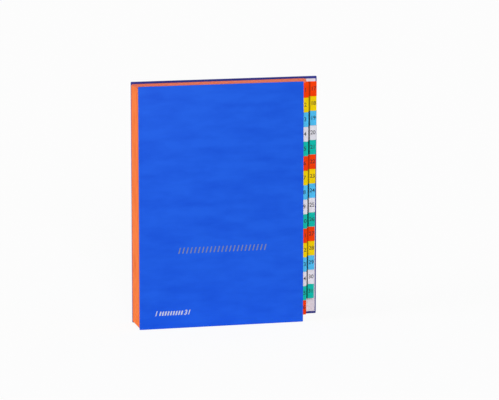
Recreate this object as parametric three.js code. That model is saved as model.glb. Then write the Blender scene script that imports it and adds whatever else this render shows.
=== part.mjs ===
// Desk sorter: 31 tabbed card dividers between two hinged board covers, on a pleated cloth spine.
// Millimetres, +Z up. The sorter stands upright: +X runs from the spine to the fore edge and -Y is the front.
// The origin is on the ground, under the middle of the overall width and depth.

import * as THREE from 'three';

// Covers: two boards wrapped in paper, the front one narrower so that the tabs show beside it.
const coverHeight = 320;
const backCoverWidth = 250;
const frontCoverWidth = 220;
const sorterDepth = 50;
const boardThickness = 2.5;
const boardCornerRadius = 1;
const boardEdgeBevel = 0.35;

// Lining papers, pasted on the inner faces inside a margin of turned-in covering paper.
const liningThickness = 0.2;
const liningEndMargin = 3.2;
const liningSideMargin = 1.8;
const glueGap = 0.05;

// Spine: pleated cloth with one outward pleat for each divider, and a flap glued to each board.
const clothThickness = 0.4;
const clothHeadInset = 4;
const clothTailInset = 2;
const spineRecess = 0.2;
const pleatDepth = 1.2;
const flapWidth = 24;
const flapSetback = 0.3;
const seatGap = 0.3;

// Dividers: card leaves with one ear each, stepped down the fore edge in two columns.
// Their heads rise a little from the spine to the fore edge, above the first row of ears.
const dividerCount = 31;
const rowsPerColumn = 16;
const dividerThickness = 0.4;
const spineHeadInset = 2.8;
const foreEdgeHeadInset = 1;
const earHeadInset = 4;
const dividerTailInset = 4;
const foreEdgeGap = 0.3;
const tabReach = 14;
const firstColumnEdge = 230.5;
const columnStep = 13.5;
const tabCornerRadius = 1.2;

// Places worked out from the sizes above.
const spineX = -backCoverWidth / 2;
const frontY = -sorterDepth / 2;
const backY = sorterDepth / 2;
const innerHalfDepth = sorterDepth / 2 - boardThickness;
const flapInnerHalfDepth = innerHalfDepth - glueGap - clothThickness;
const pleatHalfSpan = flapInnerHalfDepth - seatGap;
const pleatPitch = (2 * pleatHalfSpan) / dividerCount;
const foreEdgePitch = dividerThickness + foreEdgeGap;
const clothHeight = coverHeight - clothHeadInset - clothTailInset;
const tabHeight = (coverHeight - earHeadInset - dividerTailInset) / rowsPerColumn;
const middleDivider = (dividerCount + 1) / 2;

// The pleats' wave leaves room for a divider's edge inside each outward pleat.
const pleatRiseAtEdge = (pleatDepth / 2) * (1 - Math.cos((Math.PI * dividerThickness) / pleatPitch));
const dividerSetback = spineRecess + clothThickness + pleatRiseAtEdge + seatGap;

// The tabs repeat these colours down each column: red, yellow, blue, white and green.
const tabColours = [0xf0420e, 0xefcb1e, 0x47adf2, 0xe6e4ee, 0x17bda2];

const coveringPaper = new THREE.MeshStandardMaterial({ color: 0x2459dc, roughness: 0.45, metalness: 0 });
const liningPaper = new THREE.MeshStandardMaterial({ color: 0xe9e7ee, roughness: 0.8, metalness: 0 });
const spineCloth = new THREE.MeshStandardMaterial({ color: 0xf88648, roughness: 0.75, metalness: 0 });

const sorter = new THREE.Group();

// A mesh with its name, shape and material, added to the group that carries it.
function addPiece(carrier, name, geometry, material) {
  const piece = new THREE.Mesh(geometry, material);
  piece.name = name;
  carrier.add(piece);
  return piece;
}

// A rectangle in the upright plane.
function rectangle(left, right, bottom, top) {
  const shape = new THREE.Shape();
  shape.moveTo(left, bottom);
  shape.lineTo(right, bottom);
  shape.lineTo(right, top);
  shape.lineTo(left, top);
  return shape;
}

// A rectangle in the upright plane, with its corners rounded.
function roundedRectangle(left, bottom, width, height, radius) {
  const right = left + width;
  const top = bottom + height;
  const shape = new THREE.Shape();
  shape.moveTo(left + radius, bottom);
  shape.lineTo(right - radius, bottom);
  shape.absarc(right - radius, bottom + radius, radius, -Math.PI / 2, 0, false);
  shape.lineTo(right, top - radius);
  shape.absarc(right - radius, top - radius, radius, 0, Math.PI / 2, false);
  shape.lineTo(left + radius, top);
  shape.absarc(left + radius, top - radius, radius, Math.PI / 2, Math.PI, false);
  shape.lineTo(left, bottom + radius);
  shape.absarc(left + radius, bottom + radius, radius, Math.PI, Math.PI * 1.5, false);
  return shape;
}

// Turns an outline in the upright plane into a plate whose front face is at y = front.
function uprightPlate(shape, front, thickness, bevel = 0) {
  const geometry = new THREE.ExtrudeGeometry(shape, {
    depth: thickness - 2 * bevel,
    bevelEnabled: bevel > 0,
    bevelThickness: bevel,
    bevelSize: bevel,
    bevelOffset: -bevel,
    bevelSegments: 2,
    curveSegments: 4,
  });
  geometry.rotateX(Math.PI / 2);
  geometry.translate(0, front + thickness - bevel, 0);
  return geometry;
}

// A board wrapped in covering paper, standing on the ground with its spine edge at the spine.
function coverBoard(width, front) {
  const outline = roundedRectangle(spineX, 0, width, coverHeight, boardCornerRadius);
  return uprightPlate(outline, front, boardThickness, boardEdgeBevel);
}

// The cloth flap of the spine that is glued to a board's inner face.
function hingeFlap(front) {
  const bottom = clothTailInset;
  const outline = rectangle(spineX + flapSetback, spineX + flapWidth, bottom, bottom + clothHeight);
  return uprightPlate(outline, front, clothThickness);
}

// The lining paper between the flap and the turned-in margins of a cover.
function liningSheet(coverWidth, front) {
  const left = spineX + flapWidth + seatGap;
  const right = spineX + coverWidth - liningSideMargin;
  const outline = rectangle(left, right, liningEndMargin, coverHeight - liningEndMargin);
  return uprightPlate(outline, front, liningThickness);
}

// The spine's section is a wave: an outward pleat at each divider and an inward fold between them.
function pleatedSpine() {
  const stepsPerPleat = 8;
  const steps = dividerCount * stepsPerPleat;
  const outside = [];
  const inside = [];
  for (let i = 0; i <= steps; i += 1) {
    const y = -pleatHalfSpan + (2 * pleatHalfSpan * i) / steps;
    const turn = (2 * Math.PI * i) / stepsPerPleat;
    const x = spineX + spineRecess + (pleatDepth / 2) * (1 + Math.cos(turn));
    outside.push(new THREE.Vector2(x, y));
    inside.push(new THREE.Vector2(x + clothThickness, y));
  }
  const section = new THREE.Shape([...inside, ...outside.reverse()]);
  const geometry = new THREE.ExtrudeGeometry(section, { depth: clothHeight, bevelEnabled: false });
  geometry.translate(0, 0, clothTailInset);
  return geometry;
}

// A divider's outline from its spine edge at x = 0, with one ear in the given row and column.
function dividerOutline(row, column) {
  const earEdge = firstColumnEdge + column * columnStep - dividerSetback;
  const bodyEdge = earEdge - tabReach;
  const bottom = dividerTailInset;
  const earTop = coverHeight - earHeadInset - row * tabHeight;
  const earBottom = earTop - tabHeight;
  const radius = tabCornerRadius;
  const outline = new THREE.Shape();
  outline.moveTo(0, bottom);
  outline.lineTo(bodyEdge, bottom);
  if (row < rowsPerColumn - 1) {
    outline.lineTo(bodyEdge, earBottom);
  }
  outline.lineTo(earEdge - radius, earBottom);
  outline.absarc(earEdge - radius, earBottom + radius, radius, -Math.PI / 2, 0, false);
  outline.lineTo(earEdge, earTop - radius);
  outline.absarc(earEdge - radius, earTop - radius, radius, 0, Math.PI / 2, false);
  outline.lineTo(bodyEdge, earTop);
  outline.lineTo(bodyEdge, coverHeight - foreEdgeHeadInset);
  outline.lineTo(0, coverHeight - spineHeadInset);
  return outline;
}

// The front cover carries its flap and its lining.
const frontCover = new THREE.Group();
const frontInnerFace = frontY + boardThickness;
addPiece(frontCover, 'front_cover', coverBoard(frontCoverWidth, frontY), coveringPaper);
addPiece(frontCover, 'front_hinge_flap', hingeFlap(frontInnerFace + glueGap), spineCloth);
addPiece(frontCover, 'front_lining', liningSheet(frontCoverWidth, frontInnerFace + glueGap), liningPaper);
sorter.add(frontCover);

// The back cover is the same, and as wide as both tab columns.
const backCover = new THREE.Group();
const backInnerFace = backY - boardThickness;
const backFlapFront = backInnerFace - glueGap - clothThickness;
const backLiningFront = backInnerFace - glueGap - liningThickness;
addPiece(backCover, 'back_cover', coverBoard(backCoverWidth, backInnerFace), coveringPaper);
addPiece(backCover, 'back_hinge_flap', hingeFlap(backFlapFront), spineCloth);
addPiece(backCover, 'back_lining', liningSheet(backCoverWidth, backLiningFront), liningPaper);
sorter.add(backCover);

addPiece(sorter, 'spine', pleatedSpine(), spineCloth);

// The dividers leave the pleats evenly spread and lie closer together at the fore edge.
for (let number = 1; number <= dividerCount; number += 1) {
  const column = number > rowsPerColumn ? 1 : 0;
  const row = number - 1 - column * rowsPerColumn;
  const colour = tabColours[row % tabColours.length];
  const card = new THREE.MeshStandardMaterial({ color: colour, roughness: 0.4, metalness: 0 });
  const geometry = uprightPlate(dividerOutline(row, column), -dividerThickness / 2, dividerThickness);
  const label = String(number).padStart(2, '0');
  const divider = addPiece(sorter, `divider_${label}`, geometry, card);
  const placesFromMiddle = number - middleDivider;
  const spineY = placesFromMiddle * pleatPitch;
  const foreEdgeY = placesFromMiddle * foreEdgePitch;
  const reach = firstColumnEdge + column * columnStep - dividerSetback;
  divider.position.set(spineX + dividerSetback, spineY, 0);
  divider.rotation.z = Math.atan2(foreEdgeY - spineY, reach);
}

export default sorter;
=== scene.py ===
"""Desk sorter: wrapped board covers, a pleated cloth spine and tabbed card dividers."""

import logging
import math
from collections.abc import Callable, Iterator
from contextlib import contextmanager
from dataclasses import dataclass, field
from enum import Enum

import bmesh
import bpy
from mathutils import Matrix, Vector


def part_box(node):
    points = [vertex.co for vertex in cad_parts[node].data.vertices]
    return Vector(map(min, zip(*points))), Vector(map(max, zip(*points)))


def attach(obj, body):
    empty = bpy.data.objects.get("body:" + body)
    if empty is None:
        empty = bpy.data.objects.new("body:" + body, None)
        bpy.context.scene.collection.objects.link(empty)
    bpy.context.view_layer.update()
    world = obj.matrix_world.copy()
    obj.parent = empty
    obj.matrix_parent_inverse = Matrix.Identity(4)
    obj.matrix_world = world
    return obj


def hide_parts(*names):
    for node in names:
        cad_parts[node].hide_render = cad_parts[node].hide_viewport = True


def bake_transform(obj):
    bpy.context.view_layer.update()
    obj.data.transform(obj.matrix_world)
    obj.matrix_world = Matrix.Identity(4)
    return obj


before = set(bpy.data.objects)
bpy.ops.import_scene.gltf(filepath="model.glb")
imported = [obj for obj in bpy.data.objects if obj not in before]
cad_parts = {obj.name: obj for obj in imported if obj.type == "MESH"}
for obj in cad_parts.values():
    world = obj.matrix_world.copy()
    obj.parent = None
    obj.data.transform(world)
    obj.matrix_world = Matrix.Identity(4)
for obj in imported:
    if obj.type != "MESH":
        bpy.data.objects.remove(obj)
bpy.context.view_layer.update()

MM = 0.001
LEAF_BODY = "leaf_block"

# Places closer than this are the same place.
TOLERANCE = 1e-6
# How much of a face's normal lies along an axis that it looks straight along, or mostly along.
STRAIGHT = 0.99
MOSTLY = 0.5
# The height of figures for each unit of text size, and the steps in each of their curves.
FIGURE_SHARE = 0.72
FIGURE_STEPS = 3
# The shares of a tab colour's level that are left in its number and in a film's deeper tone.
INK_SHARE = 0.34
DEEP_SHARE = 0.94
# The curve from display levels to linear light.
FULL_LEVEL = 255
CURVE_START = 0.04045
CURVE_SLOPE = 12.92
CURVE_OFFSET = 0.055
CURVE_POWER = 2.4
# How far the wave texture's phase runs for each unit along its axis, in radians.
WAVE_RATE = 20

Colour = tuple[float, float, float, float]
Triple = tuple[float, float, float]
Socket = bpy.types.NodeSocket
log = logging.getLogger("desk_sorter")


def paint(red: int, green: int, blue: int) -> Colour:
    """Turns a display colour into the linear colour that a shader reads.

    Args:
        red: Red, from 0 to 255.
        green: Green, from 0 to 255.
        blue: Blue, from 0 to 255.

    Returns:
        The linear red, green, blue and alpha.
    """
    levels = []
    for level in (red, green, blue):
        share = level / FULL_LEVEL
        if share <= CURVE_START:
            levels.append(share / CURVE_SLOPE)
        else:
            levels.append(((share + CURVE_OFFSET) / (1 + CURVE_OFFSET)) ** CURVE_POWER)
    return (levels[0], levels[1], levels[2], 1.0)


class Bench:
    """The hand tools: primitives, picking by place, edit mode and applied modifiers."""

    @staticmethod
    def take(*pieces: bpy.types.Object) -> None:
        """Selects only these pieces and makes the first one active.

        Args:
            pieces: The objects to select.
        """
        bpy.ops.object.select_all(action="DESELECT")
        for piece in pieces:
            piece.select_set(True)
        bpy.context.view_layer.objects.active = pieces[0]

    @staticmethod
    def settle(piece: bpy.types.Object) -> None:
        """Puts a piece's place into its mesh, so that its object is at the origin.

        Args:
            piece: The object to settle.
        """
        Bench.take(piece)
        bpy.ops.object.transform_apply(location=True, rotation=True, scale=True)

    @staticmethod
    def named(name: str) -> bpy.types.Object:
        """Names the active object and its data.

        Args:
            name: The piece's name.

        Returns:
            The active object.
        """
        piece = bpy.context.active_object
        piece.name = name
        piece.data.name = name
        return piece

    @staticmethod
    def block(name: str, low: Vector, high: Vector) -> bpy.types.Object:
        """Adds a block between two corners.

        Args:
            name: The piece's name.
            low: The lowest corner.
            high: The highest corner.

        Returns:
            The block, with its place in its mesh.
        """
        bpy.ops.object.select_all(action="DESELECT")
        bpy.ops.mesh.primitive_cube_add(size=1, location=(low + high) / 2, scale=high - low)
        piece = Bench.named(name)
        Bench.settle(piece)
        return piece

    @staticmethod
    @contextmanager
    def editing(piece: bpy.types.Object, picks: str) -> Iterator[None]:
        """Opens a piece in edit mode with nothing selected, and closes it again.

        Args:
            piece: The object to edit.
            picks: What is picked, "VERT", "EDGE" or "FACE".

        Yields:
            Nothing.
        """
        Bench.take(piece)
        bpy.ops.object.mode_set(mode="EDIT")
        bpy.ops.mesh.select_mode(type=picks)
        bpy.ops.mesh.select_all(action="DESELECT")
        try:
            yield
        finally:
            bpy.ops.object.mode_set(mode="OBJECT")

    @staticmethod
    def pick_faces(piece: bpy.types.Object, test: Callable[[bmesh.types.BMFace], bool]) -> None:
        """Selects the faces that pass a test, in edit mode.

        Args:
            piece: The object in edit mode.
            test: Says whether a face is picked.
        """
        shape = bmesh.from_edit_mesh(piece.data)
        for face in shape.faces:
            face.select_set(test(face))
        bmesh.update_edit_mesh(piece.data)

    @staticmethod
    def pick_edges(piece: bpy.types.Object, test: Callable[[bmesh.types.BMEdge], bool]) -> None:
        """Selects the edges that pass a test, in edit mode.

        Args:
            piece: The object in edit mode.
            test: Says whether an edge is picked.
        """
        shape = bmesh.from_edit_mesh(piece.data)
        for edge in shape.edges:
            edge.select_set(test(edge))
        bmesh.update_edit_mesh(piece.data)

    @staticmethod
    def pick_points(piece: bpy.types.Object, test: Callable[[Vector], bool]) -> None:
        """Selects the points that pass a test, in edit mode.

        Args:
            piece: The object in edit mode.
            test: Says whether a point at this place is picked.
        """
        shape = bmesh.from_edit_mesh(piece.data)
        for point in shape.verts:
            point.select_set(test(point.co))
        shape.select_flush_mode()
        bmesh.update_edit_mesh(piece.data)

    @staticmethod
    def modify(piece: bpy.types.Object, kind: str, **settings: float | int | str | bool) -> None:
        """Adds a modifier to a piece and applies it.

        Args:
            piece: The object to change.
            kind: The modifier's type.
            settings: The modifier's values.
        """
        Bench.take(piece)
        modifier = piece.modifiers.new(kind.lower(), kind)
        for name, value in settings.items():
            setattr(modifier, name, value)
        bpy.ops.object.modifier_apply(modifier=modifier.name)

    @staticmethod
    def smooth(piece: bpy.types.Object, angle: float) -> None:
        """Shades a piece smooth, except at edges sharper than an angle.

        Args:
            piece: The object to shade.
            angle: The angle in degrees.
        """
        Bench.take(piece)
        bpy.ops.object.shade_smooth_by_angle(angle=math.radians(angle))

    @staticmethod
    def copy(piece: bpy.types.Object, name: str, place: Matrix) -> bpy.types.Object:
        """Copies a piece, mesh and all, and puts the copy in its place.

        Args:
            piece: The object to copy.
            name: The copy's name.
            place: The copy's place, from the piece's own frame.

        Returns:
            The copy, with its place in its mesh.
        """
        Bench.take(piece)
        bpy.ops.object.duplicate()
        twin = Bench.named(name)
        twin.matrix_world = place
        Bench.settle(twin)
        return twin

    @staticmethod
    def join(pieces: list[bpy.types.Object], name: str) -> bpy.types.Object:
        """Joins pieces into one object.

        Args:
            pieces: The objects to join.
            name: The name of what they become.

        Returns:
            The joined object.
        """
        Bench.take(*pieces)
        bpy.ops.object.join()
        return Bench.named(name)

    @staticmethod
    def discard(piece: bpy.types.Object) -> None:
        """Deletes a pattern piece that its copies have replaced."""
        Bench.take(piece)
        bpy.ops.object.delete()

    @staticmethod
    def figures(words: str, height: float, boldness: float, thickness: float,
                spacing: float = 1.0, slope: float = 0.0) -> bpy.types.Object:
        """Sets a number in plain figures, centred on the origin.

        Args:
            words: The number.
            height: The height of its figures.
            boldness: How far their outlines are moved outward.
            thickness: How thick they are.
            spacing: How far apart they stand, 1 as usual.
            slope: How far they lean for each unit of height.

        Returns:
            The figures as a mesh, facing +Z.
        """
        bpy.ops.object.select_all(action="DESELECT")
        bpy.ops.object.text_add()
        text = bpy.context.active_object
        text.data.body = words
        text.data.size = height / FIGURE_SHARE
        text.data.space_character = spacing
        text.data.align_x = "CENTER"
        text.data.align_y = "CENTER"
        text.data.resolution_u = FIGURE_STEPS
        text.data.shear = slope
        text.data.offset = boldness
        text.data.extrude = thickness / 2
        bpy.ops.object.convert(target="MESH")
        return bpy.context.active_object

    @staticmethod
    def runs_deep(edge: bmesh.types.BMEdge) -> bool:
        """Says whether an edge runs along Y, the sorter's depth."""
        along = edge.verts[1].co - edge.verts[0].co
        return along.xz.length < TOLERANCE < abs(along.y)

    @staticmethod
    def rims_face(edge: bmesh.types.BMEdge) -> bool:
        """Says whether an edge lies between a face that looks along Y and one that doesn't."""
        facings = sorted(abs(face.normal.y) for face in edge.link_faces)
        return len(facings) == 2 and facings[0] < MOSTLY < facings[1]


class NodeSheet:
    """A material's node tree, with short ways to add the nodes that the finishes share."""

    def __init__(self, name: str) -> None:
        """Starts a material with a plain shader.

        Args:
            name: The material's name.
        """
        self.material = bpy.data.materials.new(name)
        self.material.use_nodes = True
        self.tree = self.material.node_tree
        self.shader = self.tree.nodes["Principled BSDF"]
        self.coordinates = self.tree.nodes.new("ShaderNodeTexCoord")

    def set(self, **values: float | Colour) -> None:
        """Sets constant values on the shader's own sockets.

        Args:
            values: Socket names, with _ for a space, and their values.
        """
        for name, value in values.items():
            self.shader.inputs[name.replace("_", " ").title().replace("Ior", "IOR")].default_value = value

    def link(self, output: Socket, target: Socket) -> None:
        """Joins an output to an input."""
        self.tree.links.new(output, target)

    def place(self, stretch: Triple) -> Socket:
        """Object coordinates in metres, stretched along each axis.

        Args:
            stretch: How many times finer the pattern is along each axis.

        Returns:
            The coordinates.
        """
        mapping = self.tree.nodes.new("ShaderNodeMapping")
        mapping.inputs["Scale"].default_value = stretch
        self.link(self.coordinates.outputs["Object"], mapping.inputs["Vector"])
        return mapping.outputs["Vector"]

    def noise(self, scale: float, detail: float = 2.0,
              stretch: Triple = (1, 1, 1)) -> Socket:
        """A soft random pattern.

        Args:
            scale: Lumps for each metre.
            detail: How many finer layers it has.
            stretch: How many times finer it is along each axis.

        Returns:
            The pattern's strength, from 0 to 1.
        """
        noise = self.tree.nodes.new("ShaderNodeTexNoise")
        noise.inputs["Scale"].default_value = scale
        noise.inputs["Detail"].default_value = detail
        self.link(self.place(stretch), noise.inputs["Vector"])
        return noise.outputs["Fac"]

    def bands(self, axis: str, scale: float) -> Socket:
        """Straight even bands across an axis.

        Args:
            axis: "X", "Y" or "Z".
            scale: The wave texture's scale, about a third of the bands in each metre.

        Returns:
            The pattern's strength, from 0 to 1.
        """
        wave = self.tree.nodes.new("ShaderNodeTexWave")
        wave.bands_direction = axis
        wave.inputs["Scale"].default_value = scale
        self.link(self.place((1, 1, 1)), wave.inputs["Vector"])
        return wave.outputs["Fac"]

    def sum(self, first: Socket, second: Socket, share: float) -> Socket:
        """Adds a share of a second pattern to a first.

        Args:
            first: The first pattern.
            second: The second pattern.
            share: How much of the second is added.

        Returns:
            The sum.
        """
        node = self.tree.nodes.new("ShaderNodeMath")
        node.operation = "MULTIPLY_ADD"
        node.inputs[1].default_value = share
        self.link(second, node.inputs[0])
        self.link(first, node.inputs[2])
        return node.outputs["Value"]

    def tint(self, pattern: Socket, low: Colour, high: Colour,
             start: float = 0.3, end: float = 0.7) -> None:
        """Colours the surface between two colours by a pattern.

        Args:
            pattern: The pattern's strength.
            low: The colour where it is weak.
            high: The colour where it is strong.
            start: The strength at which the low colour ends.
            end: The strength at which the high colour begins.
        """
        ramp = self.tree.nodes.new("ShaderNodeValToRGB")
        ramp.color_ramp.elements[0].position = start
        ramp.color_ramp.elements[0].color = low
        ramp.color_ramp.elements[1].position = end
        ramp.color_ramp.elements[1].color = high
        self.link(pattern, ramp.inputs["Fac"])
        self.link(ramp.outputs["Color"], self.shader.inputs["Base Color"])

    def rough(self, pattern: Socket, low: float, high: float) -> None:
        """Varies the roughness between two values by a pattern.

        Args:
            pattern: The pattern's strength.
            low: The roughness where it is weak.
            high: The roughness where it is strong.
        """
        spread = self.tree.nodes.new("ShaderNodeMapRange")
        spread.inputs["To Min"].default_value = low
        spread.inputs["To Max"].default_value = high
        self.link(pattern, spread.inputs["Value"])
        self.link(spread.outputs["Result"], self.shader.inputs["Roughness"])

    def bump(self, pattern: Socket, height: float, strength: float = 1.0) -> None:
        """Raises the surface by a pattern.

        Args:
            pattern: The pattern's strength.
            height: The height of its full strength, in metres.
            strength: How strongly it shows.
        """
        bump = self.tree.nodes.new("ShaderNodeBump")
        bump.inputs["Strength"].default_value = strength
        bump.inputs["Distance"].default_value = height
        self.link(pattern, bump.inputs["Height"])
        self.link(bump.outputs["Normal"], self.shader.inputs["Normal"])


@dataclass(frozen=True)
class Finish:
    """A surface whose colour, roughness and relief follow soft random patterns."""

    name: str
    deep: Colour
    light: Colour
    specular: float = 0.5
    metallic: float = 0.0
    coat: float = 0.0
    coat_roughness: float = 0.03
    sheen: float = 0.0
    sheen_roughness: float = 0.5
    scale: float = 1500.0
    detail: float = 3.0
    stretch: Triple = (1, 1, 1)
    tint_span: tuple[float, float] = (0.3, 0.7)
    roughness: tuple[float, float] = (0.35, 0.5)
    relief: float = 0.02 * MM
    relief_strength: float = 0.4

    def patterns(self, sheet: NodeSheet) -> tuple[Socket, ...]:
        """Adds the patterns, here one pattern for all three.

        Args:
            sheet: The material's node tree.

        Returns:
            The patterns of the colour, the roughness and the relief.
        """
        pattern = sheet.noise(self.scale, self.detail, self.stretch)
        return pattern, pattern, pattern

    def make(self) -> bpy.types.Material:
        """Makes the material.

        Returns:
            The material.
        """
        sheet = NodeSheet(self.name)
        sheet.set(
            specular_ior_level=self.specular, metallic=self.metallic,
            coat_weight=self.coat, coat_roughness=self.coat_roughness,
            sheen_weight=self.sheen, sheen_roughness=self.sheen_roughness)
        colour, gloss, height = self.patterns(sheet)
        sheet.tint(colour, self.deep, self.light, *self.tint_span)
        sheet.rough(gloss, *self.roughness)
        sheet.bump(height, self.relief, self.relief_strength)
        return sheet.material


@dataclass(frozen=True)
class CoveringPaper(Finish):
    """Blue bookcloth paper: a fine pebbled grain, with a faint cloudy colour."""

    name: str = "blue_covering_paper"
    deep: Colour = paint(10, 79, 211)
    light: Colour = paint(22, 91, 221)
    specular: float = 0.13
    roughness: tuple[float, float] = (0.42, 0.58)
    relief: float = 0.05 * MM
    relief_strength: float = 0.5
    cloud_scale: float = 60.0
    cloud_detail: float = 5.0
    cloud_stretch: Triple = (0.45, 1.0, 1.5)
    grain_share: float = 0.12

    def patterns(self, sheet: NodeSheet) -> tuple[Socket, ...]:
        """Adds clouds to the colour, and a fine grain to all.

        Args:
            sheet: The material's node tree.

        Returns:
            The patterns of the colour, the roughness and the relief.
        """
        clouds = sheet.noise(self.cloud_scale, self.cloud_detail, self.cloud_stretch)
        grain = sheet.noise(self.scale, self.detail, self.stretch)
        return sheet.sum(clouds, grain, self.grain_share), grain, grain


@dataclass(frozen=True)
class TurnedInPaper(CoveringPaper):
    """The same paper on the boards' edges and inner faces, darker than on their outer faces: painted shade.
    """

    name: str = "navy_painted_shade_paper"
    deep: Colour = paint(34, 38, 122)
    light: Colour = paint(50, 56, 142)


@dataclass(frozen=True)
class LiningPaper(Finish):
    """White uncoated paper with faint fibres."""

    name: str = "white_lining_paper"
    deep: Colour = paint(226, 216, 227)
    light: Colour = paint(237, 228, 238)
    specular: float = 0.2
    scale: float = 420.0
    detail: float = 4.0
    stretch: Triple = (1, 1, 0.35)
    roughness: tuple[float, float] = (0.75, 0.9)


@dataclass(frozen=True)
class SpineCloth(Finish):
    """Orange book cloth: a plain weave of fine threads, a little uneven along each thread."""

    name: str = "orange_spine_cloth"
    deep: Colour = paint(233, 107, 38)
    light: Colour = paint(248, 136, 67)
    specular: float = 0.2
    sheen: float = 0.25
    scale: float = 260.0
    stretch: Triple = (1, 1, 0.15)
    tint_span: tuple[float, float] = (0.35, 0.85)
    roughness: tuple[float, float] = (0.7, 0.85)
    relief: float = 0.06 * MM
    relief_strength: float = 0.5
    thread_pitch: float = 0.5 * MM
    weave_share: float = 0.12

    def patterns(self, sheet: NodeSheet) -> tuple[Socket, ...]:
        """Adds the weave, and the threads' uneven places.

        Args:
            sheet: The material's node tree.

        Returns:
            The patterns of the colour, the roughness and the relief.
        """
        rate = 2 * math.pi / (WAVE_RATE * self.thread_pitch)
        weave = sheet.sum(sheet.bands("Y", rate), sheet.bands("Z", rate), 1.0)
        slubs = sheet.noise(self.scale, self.detail, self.stretch)
        return sheet.sum(slubs, weave, self.weave_share), slubs, weave


@dataclass(frozen=True)
class DividerCard(Finish):
    """Orange card, smooth but not shiny, with faint fibres."""

    name: str = "orange_divider_card"
    deep: Colour = paint(230, 112, 80)
    light: Colour = paint(244, 135, 102)
    specular: float = 0.25
    scale: float = 520.0
    detail: float = 4.0
    stretch: Triple = (0.3, 1, 1)
    roughness: tuple[float, float] = (0.6, 0.75)
    relief: float = 0.015 * MM


@dataclass(frozen=True)
class TabFilm(Finish):
    """Glossy coloured film with a very slight ripple."""

    specular: float = 0.05
    coat: float = 0.03
    coat_roughness: float = 0.12
    scale: float = 140.0
    detail: float = 2.0
    roughness: tuple[float, float] = (0.28, 0.4)
    relief: float = 0.05 * MM
    relief_strength: float = 0.25


@dataclass(frozen=True)
class PrintedInk(Finish):
    """Thin printing ink, in a dark tone of the film's colour."""

    specular: float = 0.3
    scale: float = 900.0
    detail: float = 2.0
    roughness: tuple[float, float] = (0.4, 0.55)
    relief: float = 0.01 * MM
    relief_strength: float = 0.3


@dataclass(frozen=True)
class GoldFoil(Finish):
    """Thin metal foil stamped into the covering paper, with the paper's grain in it."""

    name: str = "gold_foil"
    deep: Colour = paint(88, 102, 146)
    light: Colour = paint(124, 130, 166)
    metallic: float = 0.3


@dataclass(frozen=True)
class WhiteFoil(Finish):
    """White foil stamped into the covering paper, with the paper's grain in it."""

    name: str = "white_foil"
    deep: Colour = paint(180, 184, 206)
    light: Colour = paint(202, 205, 222)


def shade(red: int, green: int, blue: int, share: float) -> tuple[Colour, Colour]:
    """Works out the two tones of a colour that is darkened to a share of its level.

    Args:
        red: Red, from 0 to 255.
        green: Green, from 0 to 255.
        blue: Blue, from 0 to 255.
        share: How much of the display level is left, from 0 to 1.

    Returns:
        The deeper tone and the lighter tone.
    """
    deep = [round(level * share * DEEP_SHARE) for level in (red, green, blue)]
    light = [round(level * share) for level in (red, green, blue)]
    return paint(*deep), paint(*light)


class TabColour(Enum):
    """The colours of the tab films, in the order that they repeat in down each column."""

    # Each colour's second value is the share of its level kept in the film's band of painted shade.
    RED = ((255, 66, 0), 0.75)
    YELLOW = ((255, 222, 0), 0.6)
    BLUE = ((84, 201, 255), 0.32)
    WHITE = ((238, 237, 247), 0.38)
    GREEN = ((12, 199, 182), 0.34)

    def __init__(self, tone: tuple[int, int, int], crease_share: float) -> None:
        """Takes a colour's values.

        Args:
            tone: Its display colour.
            crease_share: The share of its level that is left in the film's band of painted shade, a darker
                line between the tab columns.
        """
        self.tone = tone
        self.crease_share = crease_share

    @property
    def slot(self) -> str:
        """The record's material slot of the dividers with this colour."""
        return f"card_{self.name.lower()}"

    @property
    def film(self) -> TabFilm:
        """The finish of the film."""
        return TabFilm(f"{self.name.lower()}_tab_film", *shade(*self.tone, 1.0))

    @property
    def crease(self) -> TabFilm:
        """The finish of the film's band of painted shade, a darker copy of its colour for the shade between
        the tab columns.
        """
        return TabFilm(f"{self.name.lower()}_film_painted_shade", *shade(*self.tone, self.crease_share))

    @property
    def ink(self) -> PrintedInk:
        """The finish of the number on the film."""
        return PrintedInk(f"{self.name.lower()}_number_ink", *shade(*self.tone, INK_SHARE))


class CoverSide(Enum):
    """A cover's side: its body's name, and which way is inward along the depth."""

    FRONT = ("front", 1)
    BACK = ("back", -1)

    def __init__(self, body: str, inward: int) -> None:
        """Takes a side's values.

        Args:
            body: The name of the cover's body, which also starts its nodes' names.
            inward: 1 where inward is +Y, and -1 where it is -Y.
        """
        self.body = body
        self.inward = inward


def dress(piece: bpy.types.Object, material: bpy.types.Material) -> None:
    """Gives a piece one material all over.

    Args:
        piece: The object to dress.
        material: Its material.
    """
    piece.data.materials.clear()
    piece.data.materials.append(material)


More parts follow.
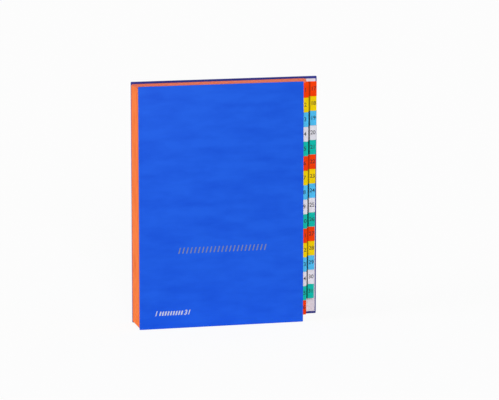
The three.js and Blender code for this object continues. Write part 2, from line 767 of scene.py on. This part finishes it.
@dataclass
class WrappedCover:
    """A board wrapped in covering paper, its turned-in edges in painted shade, with lining paper and cloth
    flap.
    """

    side: CoverSide
    paper: bpy.types.Material
    turn_in: bpy.types.Material
    lining: bpy.types.Material
    cloth: bpy.types.Material
    corner_radius: float = 1.0 * MM
    corner_segments: int = 5
    edge_radius: float = 0.7 * MM
    edge_segments: int = 4
    smooth_angle: float = 35.0
    outward_limit: float = -0.4

    def build(self) -> list[bpy.types.Object]:
        """Builds the wrapped board.

        Returns:
            The board.
        """
        node = f"{self.side.body}_cover"
        low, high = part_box(node)
        board = Bench.block(f"{self.side.body}_wrapped_board", low, high)
        with Bench.editing(board, "EDGE"):
            Bench.pick_edges(board, Bench.runs_deep)
            bpy.ops.mesh.bevel(offset=self.corner_radius, segments=self.corner_segments, affect="EDGES")
        with Bench.editing(board, "EDGE"):
            Bench.pick_edges(board, Bench.rims_face)
            bpy.ops.mesh.bevel(offset=self.edge_radius, segments=self.edge_segments, affect="EDGES")
        Bench.smooth(board, self.smooth_angle)
        dress(board, self.paper)
        board.data.materials.append(self.turn_in)
        # Faces that don't look outward get the darker paper: painted shade on the board's edges and inner
        # face.
        for face in board.data.polygons:
            is_outward = face.normal.y * self.side.inward < self.outward_limit
            face.material_index = 0 if is_outward else 1
        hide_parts(node)
        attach(board, self.side.body)
        return [board]

    def dress_nodes(self) -> None:
        """Gives the lining and the flap their own finishes."""
        dress(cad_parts[f"{self.side.body}_lining"], self.lining)
        dress(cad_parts[f"{self.side.body}_hinge_flap"], self.cloth)


@dataclass
class PleatedSpine:
    """The extensible cloth spine: one outward pleat for each divider, and a turn of cloth to each cover."""

    cloth: bpy.types.Material
    pleats: int
    cloth_thickness: float = 0.4 * MM
    strip_thickness: float = 0.2 * MM
    strip_bulge: float = 0.08 * MM
    rows: int = 8
    columns_per_pleat: int = 4
    softening: float = 1.5
    pleat_levels: int = 2
    pleat_smooth_angle: float = 50.0
    turn_levels: int = 1
    turn_smooth_angle: float = 60.0

    def build(self) -> list[bpy.types.Object]:
        """Builds the pleated cloth and the two turns of cloth at its sides.

        Returns:
            The three pieces.
        """
        pieces = [self._build_pleats()]
        for side in CoverSide:
            pieces.append(self._build_turn(side))
        for piece in pieces:
            dress(piece, self.cloth)
        return pieces

    def _build_pleats(self) -> bpy.types.Object:
        """Folds a standing sheet into soft pleats.

        Returns:
            The pleated cloth.
        """
        low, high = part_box("spine")
        middle = (low + high) / 2
        span = high.y - low.y
        bpy.ops.object.select_all(action="DESELECT")
        bpy.ops.mesh.primitive_grid_add(
            x_subdivisions=self.pleats * self.columns_per_pleat, y_subdivisions=self.rows, size=1,
            location=middle, rotation=(math.pi / 2, 0, math.pi / 2))
        cloth = Bench.named("pleated_spine_cloth")
        cloth.scale = (span, high.z - low.z, 1)
        Bench.settle(cloth)
        pleat = span / self.pleats
        swing = (high.x - low.x - self.cloth_thickness) / 2 * self.softening
        inward, outward = 0, self.columns_per_pleat // 2

        def phase(place: Vector) -> int:
            """Which of its pleat's columns a point is in, counted from the inward fold."""
            return round((place.y - low.y) / pleat * self.columns_per_pleat) % self.columns_per_pleat

        with Bench.editing(cloth, "VERT"):
            Bench.pick_points(cloth, lambda place: phase(place) == outward)
            bpy.ops.transform.translate(value=(-swing, 0, 0))
            Bench.pick_points(cloth, lambda place: phase(place) == inward)
            bpy.ops.transform.translate(value=(swing, 0, 0))
        Bench.modify(cloth, "SUBSURF", levels=self.pleat_levels, render_levels=self.pleat_levels)
        Bench.modify(cloth, "SOLIDIFY", thickness=self.cloth_thickness, offset=0.0)
        with Bench.editing(cloth, "FACE"):
            bpy.ops.mesh.select_all(action="SELECT")
            bpy.ops.mesh.normals_make_consistent(inside=False)
        Bench.smooth(cloth, self.pleat_smooth_angle)
        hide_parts("spine")
        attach(cloth, LEAF_BODY)
        return cloth

    def _build_turn(self, side: CoverSide) -> bpy.types.Object:
        """Runs the cloth round from the last fold to the flap on a cover.

        Args:
            side: The cover's side.

        Returns:
            The turn of cloth.
        """
        spine_low, spine_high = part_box("spine")
        flap_low, flap_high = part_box(f"{side.body}_hinge_flap")
        flap_y = (flap_low.y + flap_high.y) / 2
        fold_y = spine_low.y if side is CoverSide.FRONT else spine_high.y
        fold_x = spine_high.x - self.cloth_thickness / 2
        bulge = self.strip_bulge
        stops = [
            Vector((flap_low.x + 2 * bulge, flap_y, 0)),
            Vector((flap_low.x - bulge / 2, flap_y, 0)),
            Vector((flap_low.x - bulge, (flap_y + fold_y) / 2, 0)),
            Vector((flap_low.x + bulge / 2, fold_y, 0)),
            Vector((fold_x, fold_y, 0)),
        ]
        turn = self._first_strip(f"{side.body}_hinge_turn", stops[0], stops[1], flap_low.z, flap_high.z)
        for start, stop in zip(stops[1:], stops[2:]):
            with Bench.editing(turn, "EDGE"):
                Bench.pick_edges(turn, lambda edge: all(
                    (point.co - start).xy.length < TOLERANCE for point in edge.verts))
                bpy.ops.mesh.extrude_region_move(TRANSFORM_OT_translate={"value": stop - start})
        Bench.modify(turn, "SOLIDIFY", thickness=self.strip_thickness, offset=0.0)
        Bench.modify(turn, "SUBSURF", levels=self.turn_levels, render_levels=self.turn_levels)
        with Bench.editing(turn, "FACE"):
            bpy.ops.mesh.select_all(action="SELECT")
            bpy.ops.mesh.normals_make_consistent(inside=False)
        Bench.smooth(turn, self.turn_smooth_angle)
        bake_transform(turn)
        return turn

    @staticmethod
    def _first_strip(name: str, start: Vector, stop: Vector, bottom: float, top: float) -> bpy.types.Object:
        """Lays the strip of the turn that is glued to the flap.

        Args:
            name: The piece's name.
            start: Where the strip starts.
            stop: Where it stops.
            bottom: The height of its lower end.
            top: The height of its upper end.

        Returns:
            The strip, standing upright.
        """
        middle = (start + stop) / 2 + Vector((0, 0, (bottom + top) / 2))
        bpy.ops.object.select_all(action="DESELECT")
        bpy.ops.mesh.primitive_plane_add(size=1, location=middle, rotation=(math.pi / 2, 0, 0))
        strip = Bench.named(name)
        strip.scale = ((stop - start).length, top - bottom, 1)
        Bench.settle(strip)
        return strip


@dataclass(frozen=True)
class DividerPlace:
    """Where one divider and its ear are, read from the frame."""

    number: int
    rows: int
    card_thickness: float
    corner_radius: float
    edge_tolerance: float = 0.05 * MM

    @property
    def node(self) -> str:
        """The divider's node."""
        return f"divider_{self.number:02d}"

    @property
    def column(self) -> int:
        """The column that its ear is in, 0 or 1."""
        return (self.number - 1) // self.rows

    @property
    def row(self) -> int:
        """The row that its ear is in, from 0 at the top."""
        return (self.number - 1) % self.rows

    @property
    def colour(self) -> TabColour:
        """The colour of its tab."""
        colours = list(TabColour)
        return colours[self.row % len(colours)]

    @property
    def ear_span(self) -> tuple[float, float]:
        """The heights of its ear's lower and upper ends, read from the ear's outer edge."""
        _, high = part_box(self.node)
        points = [point.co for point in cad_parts[self.node].data.vertices]
        heights = [place.z for place in points if place.x > high.x - self.edge_tolerance]
        return min(heights) - self.corner_radius, max(heights) + self.corner_radius

    @property
    def ear(self) -> Matrix:
        """The place of its ear: the middle of the outer edge, turned as the divider is."""
        low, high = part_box(self.node)
        spine_y = low.y if low.y + high.y < 0 else high.y
        fore_y = high.y if low.y + high.y < 0 else low.y
        lean = math.copysign(self.card_thickness / 2, fore_y - spine_y)
        across = Vector((high.x - low.x, (fore_y - lean) - (spine_y + lean)))
        place = Vector((high.x, fore_y - lean, sum(self.ear_span) / 2))
        return Matrix.Translation(place) @ Matrix.Rotation(math.atan2(across.y, across.x), 4, "Z")


@dataclass
class TabbedDividers:
    """The card dividers, each with a coloured film folded over its ear and its number on both sides."""

    card: bpy.types.Material
    count: int
    rows: int = 16
    card_thickness: float = 0.4 * MM
    film_thickness: float = 0.09 * MM
    film_clearance: float = 0.02 * MM
    film_reach: float = 15.0 * MM
    film_inset: float = 0.15 * MM
    # The band across each film that gets painted shade, a darker copy of its colour for the shade between
    # the tab columns.
    crease_start: float = -11.2 * MM
    crease_end: float = -8.3 * MM
    corner_radius: float = 1.2 * MM
    corner_segments: int = 5
    fold_segments: int = 2
    smooth_angle: float = 35.0
    number_height: float = 5.4 * MM
    number_inset: float = 4.2 * MM
    number_boldness: float = 0.1 * MM
    number_spacing: float = 0.94
    ink_thickness: float = 0.012 * MM
    finishes: dict[TabColour, list[bpy.types.Material]] = field(default_factory=dict)

    def build(self) -> list[bpy.types.Object]:
        """Builds the films and numbers, and dresses the cards.

        Returns:
            The films and the numbers.
        """
        places = [
            DividerPlace(number, self.rows, self.card_thickness, self.corner_radius)
            for number in range(1, self.count + 1)
        ]
        for colour in TabColour:
            self.finishes[colour] = [finish.make() for finish in (colour.film, colour.crease, colour.ink)]
        bottom, top = places[0].ear_span
        pattern = self._film_pattern(top - bottom)
        pieces = []
        for place in places:
            dress(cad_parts[place.node], self.card)
            film = Bench.copy(pattern, f"tab_{place.number:02d}", place.ear)
            self._dress_film(film, pattern, place.colour)
            number = self._build_number(place)
            for piece in (film, number):
                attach(piece, LEAF_BODY)
            pieces += [film, number]
        Bench.discard(pattern)
        return pieces

    def _dress_film(self, film: bpy.types.Object, pattern: bpy.types.Object, colour: TabColour) -> None:
        """Colours a film, with a darker band of painted shade across it.

        Args:
            film: The film in its place.
            pattern: The film that it was copied from, still at the origin.
            colour: The tab's colour.
        """
        plain, crease, _ = self.finishes[colour]
        dress(film, plain)
        film.data.materials.append(crease)
        # The band's faces get the darker copy of the film's colour: painted shade.
        for face, source in zip(film.data.polygons, pattern.data.polygons):
            is_shade_band = self.crease_start < source.center.x < self.crease_end
            face.material_index = 1 if is_shade_band else 0

    @property
    def film_half(self) -> float:
        """Half the thickness of a tab with its card inside."""
        return self.card_thickness / 2 + self.film_clearance + self.film_thickness

    def _film_pattern(self, ear_height: float) -> bpy.types.Object:
        """Models one film, folded over the ear's outer edge, with rounded outer corners.

        Args:
            ear_height: The height of the ear.

        Returns:
            The film, with the middle of the ear's outer edge at the origin.
        """
        wall = self.film_thickness
        half_height = ear_height / 2 - self.film_inset
        film = Bench.block(
            "tab_pattern",
            Vector((-self.film_reach, -self.film_half, -half_height)),
            Vector((self.film_clearance + wall, self.film_half, half_height)))
        with Bench.editing(film, "EDGE"):
            Bench.pick_edges(film, self._is_outer_corner)
            bpy.ops.mesh.bevel(offset=self.corner_radius, segments=self.corner_segments, affect="EDGES")
        with Bench.editing(film, "FACE"):
            Bench.pick_faces(film, lambda face: face.normal.x < -STRAIGHT or abs(face.normal.z) > STRAIGHT)
            bpy.ops.mesh.delete(type="FACE")
            for cut in (self.crease_start, self.crease_end):
                bpy.ops.mesh.select_all(action="SELECT")
                bpy.ops.mesh.bisect(plane_co=(cut, 0, 0), plane_no=(1, 0, 0))
        with Bench.editing(film, "EDGE"):
            Bench.pick_edges(film, Bench.rims_face)
            bpy.ops.mesh.bevel(offset=wall, segments=self.fold_segments, affect="EDGES")
        Bench.modify(film, "SOLIDIFY", thickness=wall, offset=-1.0)
        Bench.smooth(film, self.smooth_angle)
        return film

    @staticmethod
    def _is_outer_corner(edge: bmesh.types.BMEdge) -> bool:
        """Says whether an edge goes through the tab at an outer corner."""
        return Bench.runs_deep(edge) and min(point.co.x for point in edge.verts) > -TOLERANCE

    def _build_number(self, place: DividerPlace) -> bpy.types.Object:
        """Prints a divider's number on both sides of its tab.

        Args:
            place: The divider's place.

        Returns:
            The printed number.
        """
        stand_off = self.film_half + self.ink_thickness / 2
        sides = []
        for turn, depth in ((0.0, -stand_off), (math.pi, stand_off)):
            text = Bench.figures(
                str(place.number), self.number_height, self.number_boldness,
                self.ink_thickness, spacing=self.number_spacing)
            local = Matrix.Translation(Vector((-self.number_inset, depth, 0)))
            facing = Matrix.Rotation(turn, 4, "Z") @ Matrix.Rotation(math.pi / 2, 4, "X")
            text.matrix_world = place.ear @ local @ facing
            Bench.settle(text)
            sides.append(text)
        number = Bench.join(sides, f"number_{place.number:02d}")
        dress(number, self.finishes[place.colour][2])
        return number


@dataclass
class CoverPrint:
    """Plain foil stamping on the front cover: a rule of fine strokes, and the first and last numbers."""

    gold: bpy.types.Material
    white: bpy.types.Material
    foil_thickness: float = 0.03 * MM
    hatch_left: float = 51.0 * MM
    hatch_width: float = 120.0 * MM
    hatch_height: float = 8.0 * MM
    hatch_middle: float = 103.0 * MM
    hatch_pitch: float = 5.2 * MM
    hatch_weight: float = 1.6 * MM
    tick_left: float = 27.5 * MM
    tick_pitch: float = 3.6 * MM
    tick_weight: float = 2.0 * MM
    tick_height: float = 5.6 * MM
    ticks: int = 9
    first_left: float = 21.5 * MM
    last_left: float = 63.0 * MM
    baseline_middle: float = 20.5 * MM
    figure_height: float = 6.4 * MM
    figure_boldness: float = 0.2 * MM
    lean: float = 16.0
    end_softening: float = 0.25
    end_segments: int = 2

    @property
    def slope(self) -> float:
        """How far the stampings lean for each unit of height."""
        return math.tan(math.radians(self.lean))

    def build(self) -> list[bpy.types.Object]:
        """Builds the stampings.

        Returns:
            The stampings.
        """
        pieces = [self._build_rule(), self._build_index()]
        for piece in pieces:
            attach(piece, CoverSide.FRONT.body)
        return pieces

    def _at(self, across: float, height: float) -> Vector:
        """A place on the front cover's face.

        Args:
            across: The distance from the cover's spine edge.
            height: The height above the ground.

        Returns:
            The place, in the middle of the foil's thickness.
        """
        low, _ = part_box("front_cover")
        return Vector((low.x + across, low.y - self.foil_thickness / 2, height))

    def _stroke(self, centre: Vector, width: float, height: float) -> bpy.types.Object:
        """Stamps one leaning stroke with softened ends.

        Args:
            centre: The stroke's middle.
            width: Its width.
            height: Its height.

        Returns:
            The stroke.
        """
        half = Vector((width / 2, self.foil_thickness / 2, height / 2))
        stroke = Bench.block("stroke", -half, half)
        with Bench.editing(stroke, "VERT"):
            for side in (-1, 1):
                Bench.pick_points(stroke, lambda place: place.z * side > 0)
                bpy.ops.transform.translate(value=(side * height / 2 * self.slope, 0, 0))
        with Bench.editing(stroke, "EDGE"):
            Bench.pick_edges(stroke, Bench.runs_deep)
            bpy.ops.mesh.bevel(offset=width * self.end_softening, segments=self.end_segments, affect="EDGES")
        stroke.matrix_world = Matrix.Translation(centre)
        Bench.settle(stroke)
        return stroke

    def _figures(self, words: str, centre: Vector) -> bpy.types.Object:
        """Stamps a number in bold leaning figures.

        Args:
            words: The number.
            centre: The number's middle.

        Returns:
            The figures.
        """
        figures = Bench.figures(
            words, self.figure_height, self.figure_boldness, self.foil_thickness, slope=self.slope)
        figures.matrix_world = Matrix.Translation(centre) @ Matrix.Rotation(math.pi / 2, 4, "X")
        Bench.settle(figures)
        return figures

    def _build_rule(self) -> bpy.types.Object:
        """Builds the rule across the lower part of the cover, a row of fine leaning strokes.

        Returns:
            The rule.
        """
        count = round(self.hatch_width / self.hatch_pitch)
        strokes = []
        for step in range(count):
            across = self.hatch_left + (step + 0.5) * self.hatch_width / count
            centre = self._at(across, self.hatch_middle)
            strokes.append(self._stroke(centre, self.hatch_weight, self.hatch_height))
        rule = Bench.join(strokes, "foil_rule")
        dress(rule, self.gold)
        return rule

    def _build_index(self) -> bpy.types.Object:
        """Builds the row at the lower left: the first number, leaning ticks and the last number.

        Returns:
            The row.
        """
        strokes = [
            self._figures("1", self._at(self.first_left, self.baseline_middle)),
            self._figures("31", self._at(self.last_left, self.baseline_middle)),
        ]
        for step in range(self.ticks):
            centre = self._at(self.tick_left + step * self.tick_pitch, self.baseline_middle)
            strokes.append(self._stroke(centre, self.tick_weight, self.tick_height))
        index = Bench.join(strokes, "foil_index")
        dress(index, self.white)
        return index


@dataclass
class Studio:
    """A white sweep of floor, soft light and the camera."""

    camera_place: Triple = (-908.4 * MM, -3856.3 * MM, 874.1 * MM)
    camera_yaw: float = 13.652
    camera_pitch: float = 10.178
    lens: float = 221.4
    sensor: float = 36.0
    view_limit: float = 100.0
    floor_size: float = 60.0
    floor_colour: Colour = paint(246, 246, 246)
    floor_roughness: float = 0.9
    floor_glow: float = 0.92
    sky_level: float = 0.47
    key_level: float = 1.32
    key_turn: Triple = (72.0, 0.0, -6.0)
    key_softness: float = 12.0
    side_level: float = 1.24
    side_turn: Triple = (66.0, 0.0, -78.0)
    side_softness: float = 30.0

    def build(self) -> None:
        """Builds the floor, the light and the camera."""
        self._build_floor()
        self._build_sky()
        self._build_sun("key_light", self.key_level, self.key_turn, self.key_softness)
        self._build_sun("side_light", self.side_level, self.side_turn, self.side_softness)
        self._build_camera()
        bpy.context.scene.view_settings.view_transform = "Standard"

    def _seen_directly(self, tree: bpy.types.NodeTree) -> Socket:
        """A switch that is on for camera, mirror and see-through rays.

        Args:
            tree: The node tree to add it to.

        Returns:
            1 for those rays and 0 for the others.
        """
        path = tree.nodes.new("ShaderNodeLightPath")
        total = path.outputs["Is Camera Ray"]
        for name in ("Is Glossy Ray", "Is Transmission Ray"):
            node = tree.nodes.new("ShaderNodeMath")
            node.operation = "MAXIMUM"
            tree.links.new(total, node.inputs[0])
            tree.links.new(path.outputs[name], node.inputs[1])
            total = node.outputs["Value"]
        return total

    def _build_floor(self) -> None:
        """Lays the floor, which is white where it is seen and still takes a shadow."""
        bpy.ops.object.select_all(action="DESELECT")
        bpy.ops.mesh.primitive_plane_add(size=self.floor_size)
        floor = Bench.named("floor")
        material = bpy.data.materials.new("white_floor")
        material.use_nodes = True
        tree = material.node_tree
        shader = tree.nodes["Principled BSDF"]
        shader.inputs["Base Color"].default_value = self.floor_colour
        shader.inputs["Roughness"].default_value = self.floor_roughness
        shader.inputs["Specular IOR Level"].default_value = 0.0
        glow = tree.nodes.new("ShaderNodeEmission")
        mix = tree.nodes.new("ShaderNodeMixShader")
        share = tree.nodes.new("ShaderNodeMath")
        share.operation = "MULTIPLY"
        share.inputs[1].default_value = self.floor_glow
        tree.links.new(self._seen_directly(tree), share.inputs[0])
        tree.links.new(share.outputs["Value"], mix.inputs["Fac"])
        tree.links.new(shader.outputs["BSDF"], mix.inputs[1])
        tree.links.new(glow.outputs["Emission"], mix.inputs[2])
        tree.links.new(mix.outputs["Shader"], tree.nodes["Material Output"].inputs["Surface"])
        dress(floor, material)

    def _build_sky(self) -> None:
        """Fills the room with even white light, seen as plain white."""
        world = bpy.data.worlds.new("soft_room")
        bpy.context.scene.world = world
        world.use_nodes = True
        tree = world.node_tree
        background = tree.nodes["Background"]
        background.inputs["Color"].default_value = (1, 1, 1, 1)
        level = tree.nodes.new("ShaderNodeMapRange")
        level.inputs["To Min"].default_value = self.sky_level
        level.inputs["To Max"].default_value = 1.0
        tree.links.new(self._seen_directly(tree), level.inputs["Value"])
        tree.links.new(level.outputs["Result"], background.inputs["Strength"])

    @staticmethod
    def _build_sun(name: str, level: float, turn: Triple, softness: float) -> None:
        """Adds a soft light that comes from one direction.

        Args:
            name: The light's name.
            level: Its strength.
            turn: Its turn about each axis, in degrees.
            softness: How wide it is in the sky, in degrees.
        """
        bpy.ops.object.select_all(action="DESELECT")
        bpy.ops.object.light_add(type="SUN", rotation=[math.radians(angle) for angle in turn])
        light = bpy.context.active_object
        light.name = name
        light.data.energy = level
        light.data.angle = math.radians(softness)

    def _build_camera(self) -> None:
        """Stands the camera where the photograph was taken from."""
        turn = (math.radians(90 - self.camera_pitch), 0, math.radians(-self.camera_yaw))
        bpy.ops.object.camera_add(location=self.camera_place, rotation=turn)
        camera = bpy.context.active_object
        camera.data.sensor_width = self.sensor
        camera.data.lens = self.lens
        camera.data.clip_end = self.view_limit
        bpy.context.scene.camera = camera


def main() -> None:
    """Builds the sorter's dressing, sub-assembly by sub-assembly, and then the studio."""
    logging.basicConfig(level=logging.INFO, format="%(name)s: %(message)s")
    paper = CoveringPaper().make()
    turn_in = TurnedInPaper().make()
    lining = LiningPaper().make()
    cloth = SpineCloth().make()
    dividers = sum(name.startswith("divider_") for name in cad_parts)
    covers = [WrappedCover(side, paper, turn_in, lining, cloth) for side in CoverSide]
    assemblies = [
        *covers,
        PleatedSpine(cloth, pleats=dividers),
        TabbedDividers(DividerCard().make(), count=dividers),
        CoverPrint(GoldFoil().make(), WhiteFoil().make()),
    ]
    for cover in covers:
        cover.dress_nodes()
    for assembly in assemblies:
        for piece in assembly.build():
            log.info("%s: %s, %d faces", type(assembly).__name__, piece.name, len(piece.data.polygons))
    Studio().build()


if __name__ == "__main__":
    main()
